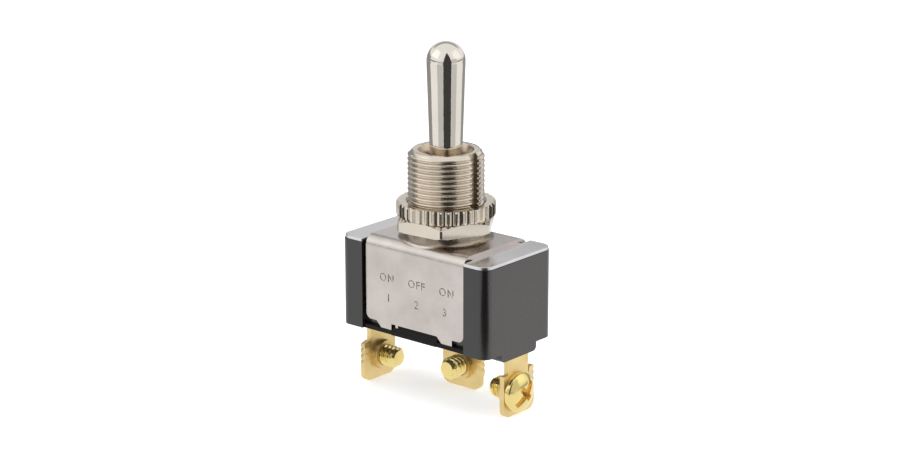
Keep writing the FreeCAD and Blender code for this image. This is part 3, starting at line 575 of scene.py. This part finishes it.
# The shift turns the ridges to the photo's places, in shares of a ridge. A gap's floor bulges out by the sag.
knurledRing = {
    "bore": 5.973, "boreBevel": 0.3, "radius": 7.75, "low": 3.6, "high": 5.8, "bevel": 0.2, "crease": 24,
    "ridges": 40, "shift": 0.28, "depth": 0.42, "sag": 0.1, "ridgeShare": 0.2, "wallShare": 0.2,
    "stepsPerRidge": 20,
}


def addKnurledNut(materials):
    ring = knurledRing
    bevel, ease = ring["bevel"], ring["boreBevel"]
    corners = [(ring["bore"], ring["low"] + ease), (ring["bore"] + ease, ring["low"]),
               (ring["radius"] - bevel, ring["low"]), (ring["radius"], ring["low"] + bevel),
               (ring["radius"], ring["high"] - bevel), (ring["radius"] - bevel, ring["high"]),
               (ring["bore"] + ease, ring["high"]), (ring["bore"], ring["high"] - ease)]
    bm = latheProfile(corners, ring["ridges"] * ring["stepsPerRidge"])
    for vert in bm.verts:
        radius = math.hypot(vert.co.x, vert.co.y)
        if radius < ring["radius"] - bevel - tolerance["rim"]:
            continue
        phase = (math.atan2(vert.co.y, vert.co.x) / (2 * math.pi) * ring["ridges"] - ring["shift"]) % 1
        away = abs(phase - 0.5) * 2 - ring["ridgeShare"]
        inside = clamped((away - ring["wallShare"]) / (1 - ring["ridgeShare"] - ring["wallShare"]))
        dip = ring["depth"] * clamped(away / ring["wallShare"]) + ring["sag"] * inside * (2 - inside)
        drawIn(vert, min(radius, ring["radius"] - dip) / radius)
    finishPiece("knurledRing", bm, "upper_nut", materials["nutNickel"], ("knurled_nut",),
                ring["crease"])


hexNut = {"bevel": 0.07, "bevelAngle": 14, "crease": 20}


def addHexNut(materials):
    piece = finishPiece("hexNut", copiedNode("hex_nut"), "lower_nut", materials["nutNickel"],
                        ("hex_nut",), hexNut["crease"])
    addBevel(piece, hexNut["bevel"], hexNut["bevelAngle"])
    evenNormals(piece)


# The taper is divided at the shares of its height. A fine crease parts it from the dome.
lever = {
    "tip": 3.0, "tipRise": 27.7, "neck": 2.443, "ball": 3.9, "pivot": 7.5, "shank": 2.2, "foot": -4.5,
    "bore": 1.35, "seat": 5.0, "steps": 96, "ballSteps": 26, "domeSteps": 22, "domeStart": 1.6,
    "taperShares": (0.05, 0.3, 0.6, 0.9, 0.992), "creaseIn": 0.035, "creaseRise": 0.02, "crease": 50,
}


def addLever(materials):
    low = lever["pivot"] + math.sqrt(lever["ball"] ** 2 - lever["neck"] ** 2)
    first = math.degrees(math.asin((low - lever["pivot"]) / lever["ball"]))
    footTurn = math.degrees(math.acos(lever["shank"] / lever["ball"]))
    corners = [(lever["shank"], lever["foot"])]
    corners += arcCorners((0, lever["pivot"]), lever["ball"], -footTurn, first, lever["ballSteps"])
    flare, rise = lever["tip"] - lever["neck"], lever["tipRise"] - low
    corners += [(lever["neck"] + flare * share, low + rise * share) for share in lever["taperShares"]]
    corners += [(lever["tip"] - lever["creaseIn"], lever["tipRise"] + lever["creaseRise"])]
    corners += arcCorners((0, lever["tipRise"]), lever["tip"], lever["domeStart"], 90, lever["domeSteps"])
    corners[-1] = (0, lever["tipRise"] + lever["tip"])
    corners += [(0, lever["seat"]), (lever["bore"], lever["seat"]), (lever["bore"], lever["foot"])]
    bm = latheProfile(corners, lever["steps"])
    finishPiece("batLever", bm, "toggle", materials["leverNickel"], ("lever",), lever["crease"])


# sheet metal and moulding

strap = {"bevel": 0.1, "crease": 30}

stamps = {
    "font": 1.75, "depth": 0.1, "face": -7.66, "spacing": 1.2, "stroke": 0.022, "resolution": 3,
    "rows": [{"words": "ON    OFF    ON", "x": 0.5, "z": -6.2},
             {"words": "1       2       3", "x": 0.5, "z": -9.4}],
}

# The drawn collar is a little rougher than the sheet around it, and its darker colour is a painted dark
# reflection.
collar = {"foot": 0.02, "radius": 8.1}

# A small hook hangs beside each tab. The same ones stand half a turn round, at the back.
hooks = {"starts": (-3.85, 7.95), "width": 0.5, "low": -13.95, "high": -13.3, "near": 7.1, "far": 7.6}


def cutWith(piece, bm, material=None):
    bmesh.ops.recalc_face_normals(bm, faces=bm.faces)
    bmesh.ops.scale(bm, verts=bm.verts, vec=(millimetre,) * 3)
    mesh = bpy.data.meshes.new("cutter")
    bm.to_mesh(mesh)
    bm.free()
    mesh.materials.append(material or piece.data.materials[0])
    cutter = bpy.data.objects.new("cutter", mesh)
    bpy.context.scene.collection.objects.link(cutter)
    cut = piece.modifiers.new("cut", "BOOLEAN")
    cut.operation = "DIFFERENCE"
    cut.solver = "EXACT"
    cut.material_mode = "TRANSFER"
    cut.object = cutter
    applyModifiers(piece)
    bpy.data.objects.remove(cutter)


def stampedWords(row):
    words = bpy.data.curves.new("stampWords", "FONT")
    words.body = row["words"]
    words.size = stamps["font"]
    words.extrude = stamps["depth"]
    words.offset = stamps["stroke"]
    words.space_character = stamps["spacing"]
    words.align_x, words.align_y = "CENTER", "CENTER"
    words.resolution_u = stamps["resolution"]
    holder = bpy.data.objects.new("stampWords", words)
    bpy.context.scene.collection.objects.link(holder)
    seen = bpy.context.evaluated_depsgraph_get()
    mesh = bpy.data.meshes.new_from_object(holder.evaluated_get(seen))
    bpy.data.objects.remove(holder)
    bm = bmesh.new()
    bm.from_mesh(mesh)
    bmesh.ops.remove_doubles(bm, verts=bm.verts, dist=tolerance["weld"])
    place = Matrix.Translation((row["x"], stamps["face"], row["z"]))
    bmesh.ops.transform(bm, matrix=place @ Matrix.Rotation(math.radians(90), 4, "X"), verts=bm.verts)
    return bm


def addBox(bm, low, high):
    made = bmesh.ops.create_cube(bm, size=1)["verts"]
    low, high = Vector(low), Vector(high)
    bmesh.ops.scale(bm, verts=made, vec=high - low)
    bmesh.ops.translate(bm, verts=made, vec=(low + high) / 2)


def addStrap(materials):
    bm = copiedNode("mounting_bracket")
    for turn in (1, -1):
        for start in hooks["starts"]:
            ends = sorted((turn * start, turn * (start + hooks["width"])))
            sides = sorted((-turn * hooks["near"], -turn * hooks["far"]))
            addBox(bm, (ends[0], sides[0], hooks["low"]), (ends[1], sides[1], hooks["high"]))
    piece = finishPiece("foldedStrap", bm, "case", materials["strapSteel"],
                        ("mounting_bracket",), strap["crease"])
    addBevel(piece, strap["bevel"])
    for row in stamps["rows"]:
        cutWith(piece, stampedWords(row))
    coverFaces(piece, materials["darkReflectionCollarSteel"], isCollar)
    creaseEdges(piece.data, strap["crease"])
    evenNormals(piece)


def isCollar(spot):
    return spot.z > collar["foot"] and math.hypot(spot.x, spot.y) < collar["radius"]


cover = {"bevel": 0.12}
housing = {"bevel": 0.14}

# The bars and ledges in the strap's windows get a rougher, less reflective skin: painted shade under the
# strap's overhang.
snapBars = {"reach": 9.9, "inner": 6.9, "top": -13.3}


def addCase(materials):
    plate = finishPiece("coverPlate", copiedNode("top_plate"), "case",
                        materials["coverSteel"], ("top_plate",))
    addBevel(plate, cover["bevel"])
    evenNormals(plate)
    body = finishPiece("mouldedHousing", copiedNode("housing"), "case",
                       materials["housingPlastic"], ("housing",))
    coverFaces(body, materials["overhangShadePlastic"], isSnapBar)
    addBevel(body, housing["bevel"])
    evenNormals(body)


def isSnapBar(spot):
    return abs(spot.x) < snapBars["reach"] and abs(spot.y) > snapBars["inner"] and spot.z < snapBars["top"]


# The blades' own sizes run along y from the middle of the neck, and the ear's waves along z.
blades = {
    "right": {"spot": (14.2, 0, 0), "degrees": 0, "side": 1, "neck": 2.75, "ear": 2.2},
    "left": {"spot": (-14.2, 0, 0), "degrees": 180, "side": 1, "neck": 2.75, "ear": 2.2},
    "centre": {"spot": (0, 5.05, 0), "degrees": 90, "side": -1, "neck": 2.5, "ear": 1.65},
}

bladeEdges = {"bevel": 0.09, "crease": 30}

# The ear's lower slit is closed down to slitFoot, from slitReach inside the neck's edge.
ears = {"low": -23.1, "slitFoot": -23.29, "slitReach": 0.05, "high": -19.1, "waves": 4, "rows": 24,
        "depth": 0.22}

# The notch parts the ear's top from the neck. The cutter goes through the sheet from its inner side.
notch = {"inner": -2.4, "through": 2.8, "wall": 0.02, "foot": 0.2, "footRise": -20.2, "slope": 0.5,
         "slopeTop": 0.1, "slopeDrop": 0.3, "past": 0.3}


def bladePlace(blade):
    return Matrix.Translation(blade["spot"]) @ Matrix.Rotation(math.radians(blade["degrees"]), 4, "Z")


def serrateEar(bm, blade):
    place = bladePlace(blade)
    bmesh.ops.transform(bm, matrix=place.inverted(), verts=bm.verts)
    side, height = blade["side"], ears["high"] - ears["low"]
    slit, tip = blade["neck"] - ears["slitReach"], blade["neck"] + blade["ear"] - tolerance["edge"]
    for vert in bm.verts:
        if vert.co.y * side > slit and abs(vert.co.z - ears["low"]) < tolerance["edge"]:
            vert.co.z = ears["slitFoot"]
    for row in range(1, ears["rows"]):
        near = [face for face in bm.faces if max(vert.co.y * side for vert in face.verts) > tip]
        cutAcross(bm, near, (0, 0, ears["low"] + height * row / ears["rows"]), (0, 0, 1))
    for vert in bm.verts:
        if vert.co.y * side > tip:
            turn = math.pi * ears["waves"] * (vert.co.z - ears["low"]) / height
            vert.co.y -= side * ears["depth"] * (1 - abs(math.sin(turn)))
    bmesh.ops.transform(bm, matrix=place, verts=bm.verts)


def notchCutter(blade):
    neck, tip = blade["neck"], blade["neck"] + blade["ear"] + notch["past"]
    top = ears["high"]
    above = top + notch["past"]
    outline = [(neck + notch["wall"], above), (neck + notch["wall"], top),
               (neck + notch["foot"], notch["footRise"]), (neck + notch["slope"], top - notch["slopeTop"]),
               (tip, top - notch["slopeDrop"]), (tip, above)]
    bm = bmesh.new()
    face = bm.faces.new([bm.verts.new((notch["inner"], blade["side"] * y, z)) for y, z in outline])
    grown = bmesh.ops.extrude_face_region(bm, geom=[face])["geom"]
    moved = [item for item in grown if isinstance(item, bmesh.types.BMVert)]
    bmesh.ops.translate(bm, verts=moved, vec=(notch["through"], 0, 0))
    bmesh.ops.transform(bm, matrix=bladePlace(blade), verts=bm.verts)
    return bm


def addTerminals(materials):
    for name, blade in blades.items():
        bm = copiedNode(f"terminal_{name}")
        serrateEar(bm, blade)
        piece = finishPiece(f"blade_{name}", bm, "case", materials["terminalBrass"],
                            (f"terminal_{name}",), bladeEdges["crease"])
        addBevel(piece, bladeEdges["bevel"])
        cutWith(piece, notchCutter(blade))
        creaseEdges(piece.data, bladeEdges["crease"])
        evenNormals(piece)


# terminal screws

# A screw is drawn with its head up and its tip down, the head's foot at zero.
screw = {
    "radius": 1.75, "low": -4.08, "high": -0.01, "rowsTop": -0.02, "pitch": 0.794, "depth": 0.42, "root": 0.3,
    "crest": 0.04, "topRadius": 9.0, "footRadius": 1.5, "plainTop": 0.0, "fade": 0.3, "floor": 1.2,
    "length": 4.4, "tipFace": 1.22, "head": 3.15, "headEase": 0.12, "headFoot": 0.14, "rim": 0.9,
    "rimDrop": 0.1, "crown": 2.0, "domeSteps": 30, "steps": 96, "rowsPerPitch": 14, "crease": 36,
}

# The bars of the recess, each with half its width, half its length, its depth and its turn. They taper down.
recessBars = [
    {"half": 0.66, "reach": 2.75, "depth": 0.95, "turn": 0},
    {"half": 0.6, "reach": 1.6, "depth": 1.2, "turn": 90},
]
recessTaper = {"length": 0.86, "width": 0.7}


def screwBody():
    crown = screw["crown"] - screw["rim"]
    curve = (screw["head"] ** 2 + crown ** 2) / (2 * crown)
    last = math.degrees(math.asin(screw["head"] / curve))
    dome = arcCorners((0, screw["crown"] - curve), curve, 90 - last, 90, screw["domeSteps"])
    dome[-1] = (0, screw["crown"])
    gap = screw["pitch"] / screw["rowsPerPitch"]
    corners = [(0, -screw["length"]), (screw["tipFace"], -screw["length"])]
    corners += stackedCorners(screw["radius"], screw["low"], screw["rowsTop"], gap)
    corners += [(screw["radius"], 0), (screw["head"] - screw["headEase"], 0),
                (screw["head"], screw["headFoot"])]
    corners += [(dome[0][0], dome[0][1] - screw["rimDrop"])] + dome[1:]
    bm = latheProfile(corners, screw["steps"])
    cutThread(bm, screw)
    return bm


def recessCutter(bar, turn, place):
    bm = bmesh.new()
    made = bmesh.ops.create_cube(bm, size=1)["verts"]
    bmesh.ops.scale(bm, verts=made, vec=(2 * bar["reach"], 2 * bar["half"], 2 * bar["depth"]))
    bmesh.ops.translate(bm, verts=made, vec=(0, 0, screw["crown"]))
    foot = [vert for vert in made if vert.co.z < screw["crown"]]
    bmesh.ops.scale(bm, verts=foot, vec=(recessTaper["length"], recessTaper["width"], 1))
    bmesh.ops.rotate(bm, verts=made, cent=(0, 0, 0), matrix=Matrix.Rotation(math.radians(turn), 3, "Z"))
    bmesh.ops.transform(bm, matrix=place, verts=bm.verts)
    return bm


screwPlaces = {
    "right": {"spot": (14.2, 0, -22.3), "axis": "Y", "degrees": 90, "turn": 134},
    "left": {"spot": (-14.2, 0, -22.3), "axis": "Y", "degrees": -90, "turn": 60},
    "centre": {"spot": (-0.45, 5.05, -22.3), "axis": "X", "degrees": -90, "turn": 20},
}


def addScrews(materials):
    for side, spot in screwPlaces.items():
        bm = screwBody()
        turned = Matrix.Rotation(math.radians(spot["degrees"]), 4, spot["axis"])
        place = Matrix.Translation(spot["spot"]) @ turned
        bmesh.ops.transform(bm, matrix=place, verts=bm.verts)
        piece = finishPiece(f"terminalScrew_{side}", bm, f"{side}_screw",
                            materials["screwBrass"], (f"screw_{side}",))
        for bar in recessBars:
            cutWith(piece, recessCutter(bar, spot["turn"] + bar["turn"], place), materials["recessBrass"])
        creaseEdges(piece.data, screw["crease"])


# The spring's foot and its seat in the lever, and the plunger's slide, in metres. The coil keeps its solid's
# shape; only the crease is used.
spring = {"foot": -0.002, "seat": 0.005, "slide": 0.0008, "crease": 35}


def addSpring(materials):
    coil = finishPiece("plungerCoil", copiedNode("plunger_spring"), "toggle",
                       materials["springSteel"], ("plunger_spring",), spring["crease"])
    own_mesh(coil)


# The other pieces inside the case keep their solids.
innerFinishes = {
    "lever_pin": "springSteel", "plunger": "plungerPlastic",
    "rocker_contact": "terminalBrass", "rocker_saddle": "terminalBrass",
    "moving_contact_left": "contactSilver", "moving_contact_right": "contactSilver",
    "fixed_contact_left": "contactSilver", "fixed_contact_right": "contactSilver",
}


def finishInnerPieces(materials):
    for node, finish in innerFinishes.items():
        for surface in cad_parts[node].material_slots:
            surface.link = "OBJECT"
            surface.material = materials[finish]


bpy.context.scene.view_settings.view_transform = "Standard"
addCamera()
addSoftboxes()
addWorld()
addFloor()
addCards()
print("studio ready")

materials = buildMaterials()
print("materials ready")

addBushing(materials)
addKnurledNut(materials)
addHexNut(materials)
addLever(materials)
print("bushing, nuts and lever ready")

addStrap(materials)
addCase(materials)
addTerminals(materials)
print("sheet metal and moulding ready")

addScrews(materials)
print("screws ready")

addSpring(materials)
finishInnerPieces(materials)
print("inner pieces ready")
